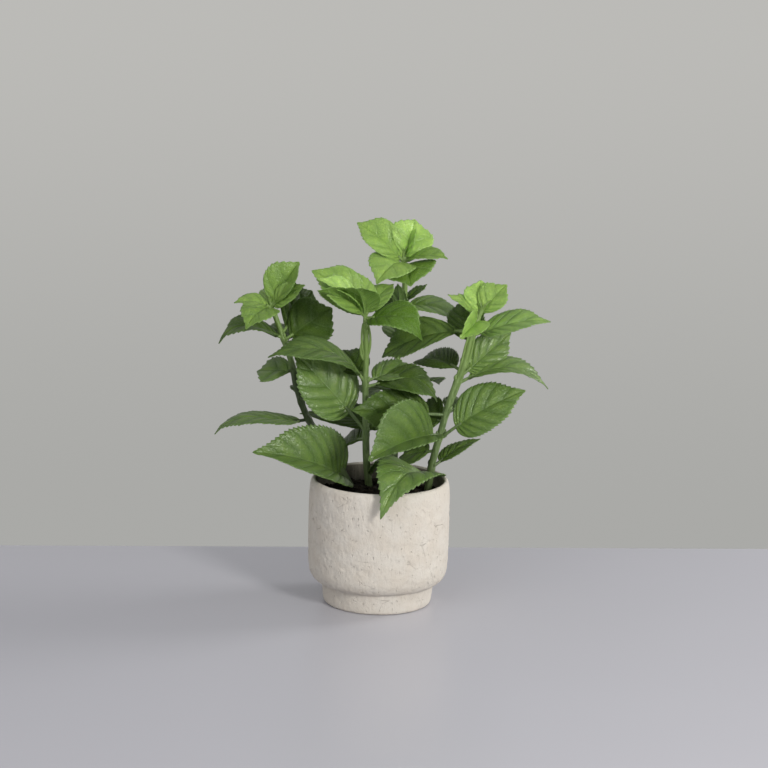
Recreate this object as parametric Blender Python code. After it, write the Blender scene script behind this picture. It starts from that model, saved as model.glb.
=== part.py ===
"""Potted mint: a thick round pot of cream stoneware, dark soil and four leafy stems.

Lengths are in millimetres, and MM turns them into Blender's metres. The origin is the middle of
the pot's flat foot, +Z is up, and -Y is the side that the photo shows.
"""

import math

import bpy
import numpy as np

MM = 0.001

# Pot, turned about Z: a stepped-in foot, a straight wall and a rounded rim
POT_RADIUS = 50.0
POT_HEIGHT = 90.0
WALL = 5.0
FOOT_RADIUS = 39.8
FOOT_HEIGHT = 14.5
POT_SIDES = 44

# How far in from the pot's radius, and how far up from the foot, the rounded corner above it runs
FOOT_CORNER = [(8.5, 0.8), (5.6, 2.0), (3.0, 4.4), (1.1, 8.5), (0.35, 14.0), (0, 25.0)]

# How far in from the pot's radius, and how far below its top, the rounded rim runs
RIM = [(0, 15.0), (0.6, 5.5), (1.3, 2.0), (2.4, 0.4), (3.3, 0), (4.3, 0.5), (5.0, 2.0)]

# Inside of the pot from the middle of its floor outwards and up, as (radius, height)
HOLLOW = [(0, 8), (31, 8), (33.5, 10), (34.2, 16), (36, 19), (41, 22.5), (44, 27.5), (45, 34)]

# Soil, and the holes that the stems stand in. FIT_GAP keeps pieces that touch apart.
FIT_GAP = 0.3
SOIL_GAP = 0.4
SOIL_LEVEL = 78.0
SOIL_CROWN = 2.0
HOLE_DEPTH = 22.0
CUTTER_RISE = 14.0

# Stems: round, slightly tapered, with one ring of points for each step along them
STEM_SIDES = 8
STEM_FOOT_RADIUS = 2.7
STEM_TOP_RADIUS = 1.9
STEM_STEP = 11.0
CORE_LENGTH = 11.0
CORE_TOP_RADIUS = 1.0

# Leaves: a thin blade with a thicker rib below its middle, and a margin of teeth. A tooth's depth is
# a share of the half width and its lean a share of the pitch. The margin waves up and down.
BLADE = 0.8
PETIOLE_RADIUS = 1.2
POINT_RADIUS = 0.4
RIB = 1.3
TOOTH_DEPTH = 0.11
TOOTH_LEAN = 0.35
POINT_POWER = 0.8
MARGIN_WAVE = 0.35
BIG_LEAF_WIDTH = 24.0
BIG_LEAF_STATIONS = 12
SMALL_LEAF_STATIONS = 8
LEAF_SINK = 1.6

# Middle line of each stem, from the soil to its top, and the height where its young tip starts
FRONT_PATH = [(-8, 19, 80), (-10, 16, 99), (-11, 12, 122), (-12, 5, 157), (-12, 1, 181), (-13, -4, 206)]
RIGHT_PATH = [(34, 8, 78), (37, 6, 101), (42, 4, 123), (49, 2, 151), (57, 1, 173), (61, 0, 191), (66, 0, 207)]
BACK_PATH = [(9, 26, 78), (10, 30, 102), (11, 35, 139), (10, 38, 189), (14, 39, 215), (13, 39, 238)]
LEFT_PATH = [(-20, 14, 78), (-36, 15, 105), (-52, 17, 127), (-61, 19, 150), (-65, 20, 168), (-79, 20, 206)]
TIP_START = {"front": 202.0, "right": 203.0, "back": 233.5, "left": 201.5}

STONEWARE = (0.66, 0.60, 0.52)
DARK_SOIL = (0.02, 0.018, 0.014)
MATURE_GREEN = (0.10, 0.21, 0.055)
YOUNG_GREEN = (0.22, 0.42, 0.09)


def leaf(height, tip, width, petiole, arch, roll, fold, hook=0.0, widest=0.38):
    """One leaf's place and form.

    It leaves the stem's middle at this height and ends at tip (x, y, z). Width is that of the
    blade, and petiole the length of bare stalk. Arch lifts the middle and hook the outer third,
    as shares of the whole length. Roll turns the blade about its own line, 0 facing up. Fold
    raises the two halves to a shallow V. Widest says where along the blade it is widest.
    """
    return {
        "height": height,
        "tip": np.array(tip, float),
        "width": width,
        "petiole": petiole,
        "arch": arch,
        "roll": roll,
        "fold": fold,
        "hook": hook,
        "widest": widest,
    }


# Mature leaves, lowest pair first. Those with a tip far back aren't seen in the photo.
FRONT_LEAVES = [
    leaf(86, (4, 9, 104), 12, 3, arch=0.05, roll=20, fold=20),
    leaf(115, (-38, 60, 92), 34, 6, arch=0.05, roll=-30, fold=12),
    leaf(120, (-63, 4, 178), 47, 19, arch=0.05, roll=-64, fold=12),
    leaf(157, (-80, -16, 178), 42, 6, arch=0.22, roll=-14, fold=4, widest=0.48),
    leaf(159, (-29, 37, 174), 24, 5, arch=0.10, roll=-24, fold=10),
    leaf(158, (25, 20, 166), 30, 6, arch=0.05, roll=16, fold=14),
    leaf(154, (39, 3, 145), 40, 6, arch=0.14, roll=18, fold=5, hook=0.16, widest=0.55),
]
RIGHT_LEAVES = [
    leaf(90, (1, -61, 76), 47, 6, arch=0.12, roll=-11, fold=18, hook=0.165),
    leaf(96, (71, 26, 114), 20, 8, arch=0.06, roll=2, fold=12),
    leaf(109, (13, 16, 101), 32, 5, arch=0.06, roll=-22, fold=8),
    leaf(117, (100, -10, 158), 41, 17, arch=0.08, roll=52, fold=10),
    leaf(121, (-8, -44, 113), 62, 8, arch=0.12, roll=-36, fold=50, widest=0.46),
    leaf(131, (20, 26, 130), 36, 3, arch=0.05, roll=-44, fold=6, widest=0.42),
    leaf(136, (81, 66, 122), 34, 8, arch=0.12, roll=0, fold=12),
    leaf(136, (-21, -16, 142), 35, 12, arch=0.01, roll=-64, fold=8),
    leaf(158, (117, 6, 156), 30, 8, arch=0.19, roll=14, fold=12, hook=0.06, widest=0.45),
    leaf(163, (90, 20, 193), 28, 8, arch=0.05, roll=60, fold=12),
    leaf(168, (25, 68, 159), 27, 8, arch=0.11, roll=-26, fold=12),
    leaf(186, (56, 40, 213), 28, 6, arch=0.05, roll=-10, fold=10),
    leaf(194, (116, -4, 206), 29, 6, arch=0.05, roll=24, fold=12, hook=0.04),
    leaf(197, (-1, 4, 176), 36, 8, arch=0.14, roll=-36, fold=18, widest=0.58),
]
BACK_LEAVES = [
    leaf(116, (-60, 66, 120), 36, 8, arch=0.06, roll=-14, fold=12),
    leaf(117, (52, 82, 123), 34, 8, arch=0.06, roll=0, fold=12),
    leaf(142, (-12, 90, 127), 36, 8, arch=0.12, roll=0, fold=12),
    leaf(143, (42, 88, 140), 36, 8, arch=0.12, roll=0, fold=12),
    leaf(178, (21, 92, 176), 34, 6, arch=0.14, roll=0, fold=12),
    leaf(198, (-5, 58, 209), 22, 4, arch=0.05, roll=-30, fold=8),
    leaf(202, (9, 26, 225), 12, 2, arch=0.05, roll=0, fold=8),
    leaf(206, (57, 32, 195), 30, 4, arch=0.16, roll=14, fold=12),
    leaf(208, (30, 50, 221), 14, 3, arch=0.05, roll=0, fold=8),
]
LEFT_LEAVES = [
    leaf(86, (-89, -24, 112), 58, 2, arch=0.09, roll=-46, fold=36, widest=0.30),
    leaf(127, (-118, 6, 117), 36, 6, arch=-0.01, roll=-3, fold=3, hook=0.137),
    leaf(139, (-44, 66, 136), 34, 10, arch=0.12, roll=0, fold=12),
    leaf(161, (-90, 30, 158), 31, 2, arch=0.06, roll=-26, fold=6, widest=0.5),
    leaf(180, (-61, 74, 180), 34, 8, arch=0.12, roll=0, fold=12),
    leaf(183, (-37, 32, 205), 38, 5, arch=0.08, roll=60, fold=10, widest=0.5),
    leaf(185, (-116, 8, 182), 36, 4, arch=0.12, roll=-8, fold=12, hook=0.14),
    leaf(188, (-52, 50, 214), 40, 6, arch=0.05, roll=60, fold=10, widest=0.5),
]

# Young leaves of each tip, which stand round a short core
FRONT_YOUNG = [
    leaf(205, (27, -24, 194), 34, 4, arch=0.14, roll=26, fold=12, hook=0.16),
    leaf(206, (-51, -6, 238), 34, 3, arch=0.14, roll=-44, fold=15, widest=0.5),
    leaf(206, (-46, -34, 229), 26, 3, arch=0.10, roll=30, fold=10),
    leaf(207, (-46, -21, 235), 20, 3, arch=0.12, roll=-36, fold=24, widest=0.6),
    leaf(207, (-20, -38, 232), 26, 3, arch=0.12, roll=0, fold=10),
    leaf(207, (6, 18, 226), 22, 3, arch=0.10, roll=10, fold=15),
    leaf(208, (-14, 34, 223), 24, 3, arch=0.14, roll=0, fold=12),
    leaf(208, (-22, 16, 235), 24, 3, arch=0.05, roll=0, fold=15),
]
RIGHT_YOUNG = [
    leaf(206, (53, -18, 195), 32, 3, arch=0.12, roll=-50, fold=60),
    leaf(207, (44, 4, 222), 18, 3, arch=0.08, roll=-14, fold=14),
    leaf(207, (71, 38, 213), 20, 3, arch=0.12, roll=0, fold=10),
    leaf(208, (85, 4, 230), 25, 3, arch=0.08, roll=40, fold=14, widest=0.5),
    leaf(208, (67, 14, 231), 24, 3, arch=0.04, roll=0, fold=14, widest=0.5),
]
BACK_YOUNG = [
    leaf(236, (18, 10, 226), 44, 3, arch=0.16, roll=10, fold=8, widest=0.34),
    leaf(237, (-6, 10, 227), 36, 3, arch=0.20, roll=-15, fold=12),
    leaf(237, (0, 74, 244), 26, 3, arch=0.14, roll=0, fold=12),
    leaf(238, (-21, 44, 265), 29, 3, arch=0.12, roll=-50, fold=24, widest=0.5),
    leaf(238, (44, 30, 243), 24, 3, arch=0.14, roll=16, fold=15),
    leaf(239, (20, 54, 267), 33, 3, arch=0.12, roll=40, fold=12, widest=0.5),
    leaf(239, (21, 43, 262), 19, 3, arch=0.02, roll=0, fold=14),
]
LEFT_YOUNG = [
    leaf(205, (-96, -8, 196), 28, 3, arch=0.20, roll=-10, fold=10),
    leaf(206, (-106, 16, 210), 20, 3, arch=0.14, roll=-20, fold=14),
    leaf(206, (-81, 56, 213), 20, 3, arch=0.12, roll=0, fold=10),
    leaf(207, (-56, 10, 225), 18, 3, arch=0.10, roll=60, fold=14),
    leaf(208, (-61, 24, 239), 35, 2, arch=0.05, roll=48, fold=42, widest=0.5),
]


def clear_scene():
    """Removes what a new Blender file holds."""
    for old in list(bpy.data.objects):
        bpy.data.objects.remove(old, do_unlink=True)


def make_material(name, colour, roughness):
    """A plain surface of one colour and roughness."""
    material = bpy.data.materials.new(name)
    material.use_nodes = True
    shader = material.node_tree.nodes["Principled BSDF"]
    shader.inputs["Base Color"].default_value = (*colour, 1.0)
    shader.inputs["Roughness"].default_value = roughness
    return material


def make_object(name, points, faces, smooth=False):
    """An object from points in millimetres. Faces are lists of point numbers."""
    mesh = bpy.data.meshes.new(name)
    mesh.from_pydata((np.asarray(points) * MM).tolist(), [], faces)
    if smooth:
        mesh.polygons.foreach_set("use_smooth", [True] * len(mesh.polygons))
    mesh.update()
    made = bpy.data.objects.new(name, mesh)
    bpy.context.scene.collection.objects.link(made)
    return made


def dress(part, colour, roughness):
    """Gives the part its own material, named as the part is."""
    part.data.materials.clear()
    part.data.materials.append(make_material(part.name, colour, roughness))


def rings_to_faces(rings, count):
    """Quads between rings of count points each, with a face at both ends."""
    faces = [list(range(count))[::-1]]
    for ring in range(rings - 1):
        low = ring * count
        for k in range(count):
            n = (k + 1) % count
            faces.append([low + k, low + n, low + count + n, low + count + k])
    faces.append([(rings - 1) * count + k for k in range(count)])
    return faces


def turned(name, profile, sides):
    """A solid turned about Z from a profile of (radius, height) that starts and ends on the axis."""
    angle = np.linspace(0, 2 * math.pi, sides, endpoint=False)
    points = [(0.0, 0.0, profile[0][1])]
    for radius, height in profile[1:-1]:
        points += [(radius * math.cos(a), radius * math.sin(a), height) for a in angle]
    points.append((0.0, 0.0, profile[-1][1]))
    last = len(points) - 1
    faces = [[0, 1 + (k + 1) % sides, 1 + k] for k in range(sides)]
    for ring in range(len(profile) - 3):
        low = 1 + ring * sides
        for k in range(sides):
            n = (k + 1) % sides
            faces.append([low + k, low + n, low + sides + n, low + sides + k])
    low = 1 + (len(profile) - 3) * sides
    faces += [[low + k, low + (k + 1) % sides, last] for k in range(sides)]
    return make_object(name, points, faces, smooth=True)


def smooth_path(points, step):
    """A smooth line through the points, read every step millimetres along it."""
    p = np.array(points, float)
    p = np.vstack([2 * p[0] - p[1], p, 2 * p[-1] - p[-2]])
    t = np.linspace(0, 1, 21)[:-1, None]
    runs = []
    for a, b, c, d in zip(p[:-3], p[1:-2], p[2:-1], p[3:]):
        bend = 2 * a - 5 * b + 4 * c - d
        runs.append(0.5 * (2 * b + (c - a) * t + bend * t**2 + (3 * b - a - 3 * c + d) * t**3))
    fine = np.vstack(runs + [p[-2]])
    along = np.concatenate([[0], np.cumsum(np.linalg.norm(np.diff(fine, axis=0), axis=1))])
    wanted = np.linspace(0, along[-1], max(3, round(along[-1] / step) + 1))
    return np.stack([np.interp(wanted, along, fine[:, k]) for k in range(3)], axis=1)


def point_at(path, height):
    """The point of a path that only climbs, at this height."""
    return np.array([np.interp(height, path[:, 2], path[:, k]) for k in range(3)])


def tube(name, path, radii, sides=STEM_SIDES):
    """A round stem along path, with one radius for each point of it."""
    ahead = np.gradient(path, axis=0)
    ahead /= np.linalg.norm(ahead, axis=1)[:, None]
    side = np.cross(ahead, [0.0, 1.0, 0.0])
    side /= np.linalg.norm(side, axis=1)[:, None]
    front = np.cross(ahead, side)
    angle = np.linspace(0, 2 * math.pi, sides, endpoint=False)
    turn = np.cos(angle)[:, None, None] * side + np.sin(angle)[:, None, None] * front
    rings = path[:, None] + np.asarray(radii)[:, None, None] * turn.transpose(1, 0, 2)
    return make_object(name, rings.reshape(-1, 3), rings_to_faces(len(path), sides), smooth=True)


def blade_outline(t, widest):
    """Half width of a blade along 0 to 1, which is 1 at widest, round at the base and drawn out to a point."""
    lead = POINT_POWER * widest / (1 - widest)
    half = t**lead * (1 - t) ** POINT_POWER / (widest**lead * (1 - widest) ** POINT_POWER)
    late = np.clip((t - 0.66) / 0.32, 0, 1)
    return half * (1 - 0.45 * late * late * (3 - 2 * late))


def leaf_solid(name, root, form):
    """One closed leaf: a stalk that widens to a toothed blade, thin at the edge and ribbed below.

    Six points go round it at each station: left edge, rib and right edge above, then the same
    below. Every second station is a tooth, which leans towards the tip, and both faces are split
    into triangles the same way.
    """
    chord = form["tip"] - root
    size = np.linalg.norm(chord)
    line = chord / size
    up = np.array([0.0, 0.0, 1.0])
    flat = up - line * (up @ line)
    flat /= np.linalg.norm(flat)
    sideways = np.cross(line, flat)
    roll = math.radians(form["roll"])
    normal = math.cos(roll) * flat + math.sin(roll) * sideways
    side = np.cross(line, normal)

    def middle(u):
        bow = form["arch"] * 4 * u * (1 - u) + form["hook"] * 6.75 * u**2 * (1 - u)
        return root + np.outer(u, chord) + np.outer(bow * size, normal)

    stations = BIG_LEAF_STATIONS if form["width"] > BIG_LEAF_WIDTH else SMALL_LEAF_STATIONS
    bare = form["petiole"] / size
    t = np.linspace(0, 1, stations + 1)
    u = np.concatenate([[0.0, bare * 0.6], bare + (1 - bare) * t])
    centre = middle(u)
    ahead = middle(u + 1e-3) - middle(u - 1e-3)
    ahead /= np.linalg.norm(ahead, axis=1)[:, None]
    over = np.cross(side, ahead)

    blade_half = form["width"] / 2 * blade_outline(t, form["widest"])
    tooth = np.ones(stations + 1)
    tooth[2:-1:2] = 1 - TOOTH_DEPTH
    half = np.maximum(blade_half * tooth, np.interp(t, [0, 1], [PETIOLE_RADIUS, POINT_RADIUS]))
    half = np.concatenate([[PETIOLE_RADIUS, PETIOLE_RADIUS * 0.9], half])
    blade = np.concatenate([[0.0, 0.0], np.clip(blade_half / PETIOLE_RADIUS - 1, 0, 1)])
    fold = math.radians(form["fold"]) * blade
    odd = np.arange(stations + 1) % 2 == 1
    lean = np.concatenate([[0.0, 0.0], np.where(odd, TOOTH_LEAN * size * (1 - bare) / stations, 0.0)])
    lean[-2:] = 0.0
    wave = np.concatenate([[0.0, 0.0], np.where(odd, -MARGIN_WAVE, MARGIN_WAVE)]) * blade
    rib = np.concatenate([[RIB, RIB], np.linspace(RIB, BLADE / 2, stations + 1)])

    edge = (half * np.cos(fold))[:, None] * side
    rise = (half * np.sin(fold) + wave)[:, None] * over
    push = lean[:, None] * ahead
    thick = BLADE / 2 * over
    left = centre - edge + rise + push
    right = centre + edge + rise + push
    below = centre - rib[:, None] * over
    ring = [left + thick, centre + thick, right + thick, right - thick, below, left - thick]
    points = np.stack(ring, axis=1)
    faces = [[5, 4, 3, 2, 1, 0]]
    for k in range(len(u) - 1):
        a = 6 * k
        b = a + 6
        faces += [[a, a + 1, b + 1], [a, b + 1, b]]
        faces += [[a + 1, a + 2, b + 1], [a + 2, b + 2, b + 1]]
        faces += [[a + 5, b + 4, a + 4], [a + 5, b + 5, b + 4]]
        faces += [[a + 4, b + 4, a + 3], [a + 3, b + 4, b + 3]]
        faces += [[a + 2, a + 3, b + 3, b + 2], [a + 5, a, b, b + 5]]
    last = 6 * (len(u) - 1)
    faces.append([last + k for k in range(6)])
    return make_object(name, points.reshape(-1, 3), faces)


def join_all(base, pieces):
    """Fuses the pieces into base with one union."""
    group = bpy.data.collections.new(base.name + "_pieces")
    bpy.context.scene.collection.children.link(group)
    for piece in pieces:
        bpy.context.scene.collection.objects.unlink(piece)
        group.objects.link(piece)
    union = base.modifiers.new("union", "BOOLEAN")
    union.operation = "UNION"
    union.operand_type = "COLLECTION"
    union.collection = group
    union.solver = "EXACT"
    apply_modifiers(base)
    for piece in pieces:
        bpy.data.objects.remove(piece, do_unlink=True)
    bpy.data.collections.remove(group)
    keep_one_body(base)


def cut(base, cutter):
    """Takes the cutter's shape out of base."""
    cutter.hide_render = True
    cutter.display_type = "WIRE"
    difference = base.modifiers.new("cut", "BOOLEAN")
    difference.operation = "DIFFERENCE"
    difference.object = cutter
    difference.solver = "EXACT"
    apply_modifiers(base)
    bpy.data.objects.remove(cutter, do_unlink=True)


def apply_modifiers(part):
    """Puts the result of the part's modifiers into its mesh."""
    bpy.context.view_layer.update()
    evaluated = part.evaluated_get(bpy.context.evaluated_depsgraph_get())
    fresh = bpy.data.meshes.new_from_object(evaluated)
    part.modifiers.clear()
    part.data = fresh


def keep_one_body(part):
    """Keeps the largest shell and drops the rest, which are loose scraps or sealed hollows."""
    mesh = part.data
    count = len(mesh.vertices)
    label = np.arange(count)
    ends = np.empty(2 * len(mesh.edges), np.int64)
    mesh.edges.foreach_get("vertices", ends)
    ends = ends.reshape(-1, 2)
    while True:
        lowest = np.minimum(label[ends[:, 0]], label[ends[:, 1]])
        fresh = label.copy()
        np.minimum.at(fresh, ends[:, 0], lowest)
        np.minimum.at(fresh, ends[:, 1], lowest)
        fresh = fresh[fresh]
        if (fresh == label).all():
            break
        label = fresh
    names, sizes = np.unique(label, return_counts=True)
    body = names[sizes.argmax()]
    place = np.empty(3 * count)
    mesh.vertices.foreach_get("co", place)
    kept = np.nonzero(label == body)[0]
    number = {int(old): new for new, old in enumerate(kept)}
    faces = [[number[v] for v in face.vertices] for face in mesh.polygons if int(face.vertices[0]) in number]
    clean = bpy.data.meshes.new(part.name)
    clean.from_pydata(place.reshape(-1, 3)[kept].tolist(), [], faces)
    clean.update()
    part.data = clean


def make_pot():
    """The pot's wall in one turned piece: foot, corner, straight wall, rim and hollow."""
    profile = [
        (0, 0),
        (FOOT_RADIUS - 3.3, 0),
        (FOOT_RADIUS - 2.0, 0.5),
        (FOOT_RADIUS - 1.3, 1.8),
        (FOOT_RADIUS, FOOT_HEIGHT),
        *[(POT_RADIUS - inward, FOOT_HEIGHT + up) for inward, up in FOOT_CORNER],
        *[(POT_RADIUS - inward, POT_HEIGHT - down) for inward, down in RIM],
        *HOLLOW[::-1],
    ]
    pot = turned("pot", profile, POT_SIDES)
    dress(pot, STONEWARE, 0.85)


def moved_in(profile, gap):
    """A profile moved by gap towards the side that holds the axis."""
    line = np.array(profile, float)
    ahead = np.gradient(line, axis=0)
    ahead /= np.linalg.norm(ahead, axis=1)[:, None]
    moved = line + gap * np.stack([-ahead[:, 1], ahead[:, 0]], axis=1)
    moved[0] = line[0] + [0.0, gap]
    return [tuple(point) for point in moved]


def make_soil(stems):
    """Soil that fills the pot's hollow, slightly crowned, with a hole round each stem's foot."""
    radius = POT_RADIUS - WALL - FIT_GAP
    profile = [
        *moved_in(HOLLOW, SOIL_GAP),
        (radius, SOIL_LEVEL),
        (radius * 0.75, SOIL_LEVEL + SOIL_CROWN * 0.5),
        (radius * 0.4, SOIL_LEVEL + SOIL_CROWN * 0.8),
        (0, SOIL_LEVEL + SOIL_CROWN),
    ]
    soil = turned("soil", profile, POT_SIDES)
    for path in stems:
        ahead = (path[1] - path[0]) / np.linalg.norm(path[1] - path[0])
        deep = path[0] - FIT_GAP * ahead
        high = path[0] + (HOLE_DEPTH + CUTTER_RISE) * ahead
        wide = STEM_FOOT_RADIUS + FIT_GAP
        cut(soil, tube("hole", np.linspace(deep, high, 3), [wide] * 3))
    dress(soil, DARK_SOIL, 1.0)


def stem_line(points):
    """The stem's line with a straight foot below the soil."""
    first, second = np.array(points[0], float), np.array(points[1], float)
    down = (first - second) / np.linalg.norm(first - second)
    foot = first + down * HOLE_DEPTH
    return smooth_path([foot, first, *points[1:]], STEM_STEP)


def make_stem(side, line, leaves, young):
    """A leafy stem, and above it the young tip, with a small gap between their end faces."""
    start = TIP_START[side]
    top = point_at(line, start)
    path = np.vstack([line[line[:, 2] < start - 2.0], top])
    heights = [line[0, 2], SOIL_LEVEL, start]
    radii = np.interp(path[:, 2], heights, [STEM_FOOT_RADIUS, STEM_FOOT_RADIUS, STEM_TOP_RADIUS])
    stem = tube(side + "_stem", path, radii)
    join_all(stem, [leaf_solid("leaf", point_at(line, form["height"]), form) for form in leaves])
    dress(stem, MATURE_GREEN, 0.5)

    ahead = (path[-1] - path[-2]) / np.linalg.norm(path[-1] - path[-2])
    foot = top + FIT_GAP * ahead
    core_path = np.array([foot, foot + CORE_LENGTH / 2 * ahead, foot + CORE_LENGTH * ahead])
    tip = tube(side + "_tip", core_path, [STEM_TOP_RADIUS, STEM_TOP_RADIUS, CORE_TOP_RADIUS])
    roots = [foot + max(LEAF_SINK, form["height"] - foot[2]) * ahead for form in young]
    join_all(tip, [leaf_solid("leaf", root, form) for root, form in zip(roots, young)])
    dress(tip, YOUNG_GREEN, 0.5)


clear_scene()
make_pot()
front, right, back, left = [stem_line(path) for path in (FRONT_PATH, RIGHT_PATH, BACK_PATH, LEFT_PATH)]
make_soil([front, right, back, left])
make_stem("front", front, FRONT_LEAVES, FRONT_YOUNG)
make_stem("right", right, RIGHT_LEAVES, RIGHT_YOUNG)
make_stem("back", back, BACK_LEAVES, BACK_YOUNG)
make_stem("left", left, LEFT_LEAVES, LEFT_YOUNG)
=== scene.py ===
import math

import bpy
import numpy as np
from mathutils import Matrix, Vector


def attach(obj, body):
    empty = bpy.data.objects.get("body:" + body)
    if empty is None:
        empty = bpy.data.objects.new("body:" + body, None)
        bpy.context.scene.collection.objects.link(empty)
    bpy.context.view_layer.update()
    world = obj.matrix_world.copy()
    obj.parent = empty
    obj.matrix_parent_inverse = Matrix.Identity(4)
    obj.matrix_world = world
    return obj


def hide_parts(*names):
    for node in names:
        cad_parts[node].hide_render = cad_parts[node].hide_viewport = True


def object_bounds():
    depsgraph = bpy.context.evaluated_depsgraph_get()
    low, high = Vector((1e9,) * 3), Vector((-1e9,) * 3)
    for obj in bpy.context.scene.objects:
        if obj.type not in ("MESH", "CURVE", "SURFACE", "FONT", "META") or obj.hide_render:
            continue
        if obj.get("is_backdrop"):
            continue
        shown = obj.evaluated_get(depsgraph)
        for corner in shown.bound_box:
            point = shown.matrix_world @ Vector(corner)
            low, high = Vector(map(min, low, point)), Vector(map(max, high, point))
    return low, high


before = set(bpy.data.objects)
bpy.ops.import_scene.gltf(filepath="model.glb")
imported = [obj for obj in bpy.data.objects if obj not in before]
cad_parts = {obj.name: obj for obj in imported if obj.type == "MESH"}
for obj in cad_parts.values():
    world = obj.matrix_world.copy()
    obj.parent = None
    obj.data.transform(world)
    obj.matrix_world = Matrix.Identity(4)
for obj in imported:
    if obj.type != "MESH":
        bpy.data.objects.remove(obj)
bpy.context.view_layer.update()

# A potted mint, dressed over its CAD frame. Lengths are in millimetres until a mesh is made.
MM = 0.001


# The pot is thick cream stoneware, pressed in a mould and fired without glaze. Fine upright
# streaks, pits and dark grains show in its wall, and it stands on a stepped-in foot.

POT_OUTSIDE = [
    (0, 0), (36.5, 0), (37.8, 0.5), (38.5, 1.8), (39.2, 8), (39.8, 14.2), (40.4, 14.9), (41.5, 15.3),
    (44.4, 16.5), (47.0, 18.9), (48.9, 23.0), (49.65, 28.5), (50, 39.5), (50, 75.0), (49.4, 84.5),
    (48.7, 88.0), (47.6, 89.6), (46.7, 90.0), (45.7, 89.5), (45.0, 88.0),
]
POT_INSIDE = [
    (45.0, 60), (45.0, 34), (44.0, 27.5), (41.0, 22.5), (36.0, 19.0), (34.2, 16.0), (33.5, 10.0),
    (31.0, 8.0), (0, 8.0),
]
POT_OUTSIDE_STEP = 0.75
POT_INSIDE_STEP = 3.0
POT_COLUMNS = 320
POT_RELIEF = 0.121
# How much the wall sinks, against the share of the way from the foot's middle to inside the rim
POT_WORKED = [(0, 0), (0.30, 0.2), (0.36, 1), (0.86, 1), (0.95, 0.35), (1, 0.12)]

CLAY_SHADE = (0.668, 0.612, 0.535, 1)
CLAY_LIGHT = (0.705, 0.662, 0.595, 1)
CLAY_STREAK = (0.50, 0.45, 0.39, 1)
CLAY_GRAIN = (0.46, 0.41, 0.35, 1)
CLAY_SPECK = (0.16, 0.12, 0.09, 1)
CLAY_CRACK = (0.25, 0.21, 0.17, 1)
# Damp stain on the inner wall, darkened further as painted shade
CLAY_DAMP_AND_SHADE = (0.155, 0.145, 0.11, 1)


def resampled(points, step):
    """The same line with its corners cut twice, read about every step millimetres along it.

    A cut puts two points on each stretch of the line, a quarter and three quarters along it, and
    takes the corners between the stretches away.
    """
    line = np.array(points, float)
    for _ in range(2):
        cut = np.stack([line[:-1] * 0.75 + line[1:] * 0.25, line[:-1] * 0.25 + line[1:] * 0.75], axis=1)
        line = np.vstack([line[:1], cut.reshape(-1, line.shape[1]), line[-1:]])
    along = np.concatenate([[0], np.cumsum(np.linalg.norm(np.diff(line, axis=0), axis=1))])
    wanted = np.linspace(0, along[-1], max(2, round(along[-1] / step)) + 1)
    return np.stack([np.interp(wanted, along, line[:, k]) for k in range(line.shape[1])], axis=1)


def grain(rows, columns, tall, wide, seed):
    """Random heights on a grid, blurred over tall rows and wide columns, with a spread of 1."""
    waves = np.fft.fft2(np.random.default_rng(seed).standard_normal((rows, columns)))
    down = np.fft.fftfreq(rows)[:, None] * tall
    across = np.fft.fftfreq(columns)[None] * wide
    field = np.fft.ifft2(waves * np.exp(-2 * math.pi**2 * (down**2 + across**2))).real
    return (field - field.mean()) / field.std()


def pressed_wall(rows):
    """Heights of a pressed wall: two blurred grains, less the clipped peaks of a third, as pits."""
    coarse = 1.2 * grain(rows, POT_COLUMNS, 3.4, 2.6, 2)
    fine = 0.8 * grain(rows, POT_COLUMNS, 1.6, 1.2, 1)
    return fine + coarse - 2.2 * np.clip(grain(rows, POT_COLUMNS, 1.5, 1.2, 3) - 1.2, 0, 1.6)


def turned_surface(profile, relief):
    """A profile carried round Z: x = r cos a, y = r sin a, z = h, moved by relief along its normal."""
    rows, columns = relief.shape
    ahead = np.gradient(profile, axis=0)
    ahead /= np.linalg.norm(ahead, axis=1)[:, None]
    radius = profile[:, :1] + ahead[:, 1:] * relief
    height = profile[:, 1:] - ahead[:, :1] * relief
    angle = np.linspace(0, 2 * math.pi, columns, endpoint=False)[None]
    return np.stack([radius * np.cos(angle), radius * np.sin(angle), height + 0 * angle], axis=-1)


def ring_quads(rows, columns):
    """Faces between the rings of a grid whose columns go right round."""
    i, j = np.meshgrid(np.arange(rows - 1), np.arange(columns), indexing="ij")
    n = (j + 1) % columns
    corners = [i * columns + j, i * columns + n, (i + 1) * columns + n, (i + 1) * columns + j]
    return np.stack(corners, axis=-1).reshape(-1, 4)


def fan(ring, centre, flip):
    """Triangles from a ring of point numbers to one centre point."""
    after = np.roll(ring, -1)
    sides = [after, ring] if flip else [ring, after]
    return np.stack([*sides, np.full(len(ring), centre)], axis=-1)


def capped(rings, low, high):
    """Rings of points as a closed surface, with a fan to the point low and one to the point high."""
    count, columns = rings.shape[:2]
    points = np.vstack([rings.reshape(-1, 3), [low], [high]])
    last = count * columns
    ends = [fan(np.arange(columns), last, True), fan(last - columns + np.arange(columns), last + 1, False)]
    return points, ring_quads(count, columns), np.vstack(ends)


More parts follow.
